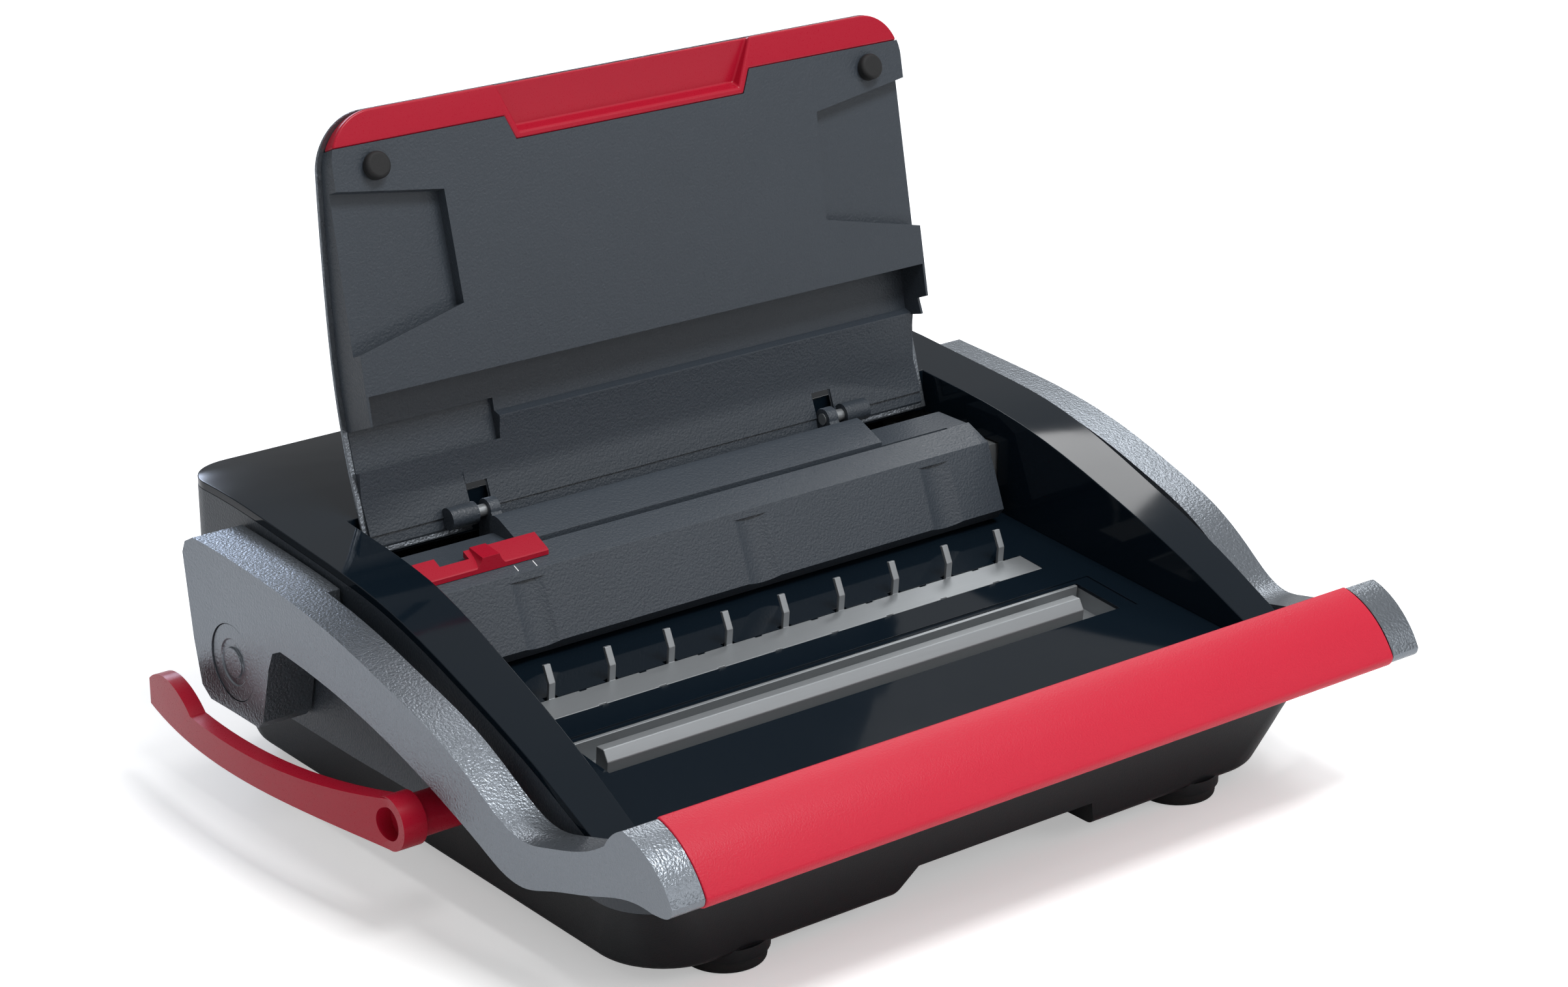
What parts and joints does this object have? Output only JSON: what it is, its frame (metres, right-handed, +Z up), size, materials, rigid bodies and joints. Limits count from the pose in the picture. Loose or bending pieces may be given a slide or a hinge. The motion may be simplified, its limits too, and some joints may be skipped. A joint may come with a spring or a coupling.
{
  "type": "wire binding machine",
  "caption": "Desk machine that punches paper and closes wire combs: arched cheeks, hinged lid, red pull-down handle and side closing lever.",
  "frame": {"origin": "on the table surface, under the middle of the whole outline with the closer lever; y = 0 is the line of the wire hooks, which is the middle of the depth within 3 mm", "axes": "+X to the right seen from the front, +Y to the rear, +Z up"},
  "size_m": [0.4906, 0.414, 0.329],
  "materials": {
    "case_dark": "fine moulded texture, near black",
    "case_slate": "fine moulded texture, dark slate",
    "gloss_black": "polished blue-black",
    "silver_paint": "silver-grey texture paint",
    "red_plastic": "satin red",
    "red_grip": "soft grained red",
    "grey_steel": "plain grey",
    "bright_steel": "bright",
    "tool_steel": "ground, oiled",
    "bronze": "sintered bush",
    "foot_rubber": "matte black"
  },
  "bodies": {
    "chassis": {"base_tray": "case_dark", "rubber_feet": "foot_rubber", "body_housing": "case_slate", "top_cover": "gloss_black", "deck_panel": "gloss_black", "hook_plate": "bright_steel", "closer_channel": "grey_steel", "closer_jaw": "grey_steel", "closer_bushes": "bronze", "right_side_frame": "grey_steel", "left_side_frame": "grey_steel", "die_block": "tool_steel", "pin_guide": "tool_steel", "depth_stop": "tool_steel", "shaft_bushes": "bronze", "punch_cover": "case_slate", "lid_hinge_brackets": "grey_steel", "base_screws": "bright_steel", "frame_bolts": "bright_steel"},
    "handle": {"cross_shaft": "bright_steel", "crank_discs": "tool_steel", "right_arm": "silver_paint", "left_arm": "silver_paint", "pivot_caps": "silver_paint", "grip": "red_grip", "grip_tube": "bright_steel"},
    "ram": {"punch_ram": "tool_steel", "punch_pins": "bright_steel"},
    "lid": {"lid_outer_shell": "silver_paint", "lid_inner_panel": "case_slate", "lid_front_trim": "red_plastic", "lid_bumpers": "foot_rubber", "lid_hinge_pins": "bright_steel"},
    "closer_lever_body": {"closer_lever": "red_plastic", "closer_crankshaft": "bright_steel"},
    "closer_slide": {"closer_bar": "grey_steel", "closer_legs": "grey_steel"},
    "edge_guide_body": {"edge_guide": "red_plastic"},
    "chip_drawer": {"chip_tray": "case_dark"}
  },
  "joints": [
    {"name": "handle_swing", "type": "hinge", "parent": "chassis", "child": "handle", "pos_m": [0.0104, 0.118, 0.0806], "axis": [-1, 0, 0], "range_deg": [0, 75]},
    {"name": "ram_slide", "type": "slide", "parent": "chassis", "child": "ram", "axis": [0, 1, 0], "range_m": [0, 0.01461]},
    {"name": "lid_hinge", "type": "hinge", "parent": "chassis", "child": "lid", "pos_m": [0.0104, 0.097, 0.1325], "axis": [1, 0, 0], "range_deg": [0, 112.5]},
    {"name": "closer_lever_turn", "type": "hinge", "parent": "chassis", "child": "closer_lever_body", "pos_m": [0.0104, -0.03, 0.0574], "axis": [1, 0, 0], "range_deg": [0, 95]},
    {"name": "closer_slide_travel", "type": "slide", "parent": "chassis", "child": "closer_slide", "axis": [0, 0.9962, 0.0872], "range_m": [0, 0.01003]},
    {"name": "edge_guide_slide", "type": "slide", "parent": "chassis", "child": "edge_guide_body", "axis": [1, 0, 0], "range_m": [0, 0.0104]},
    {"name": "chip_drawer_slide", "type": "slide", "parent": "chassis", "child": "chip_drawer", "axis": [0, 1, 0], "range_m": [0, 0.15]}
  ],
  "couplings": [
    {"joint": "ram_slide", "follows": "handle_swing", "m_per_rad": 0.011161},
    {"joint": "closer_slide_travel", "follows": "closer_lever_turn", "m_per_rad": 0.0060474}
  ]
}
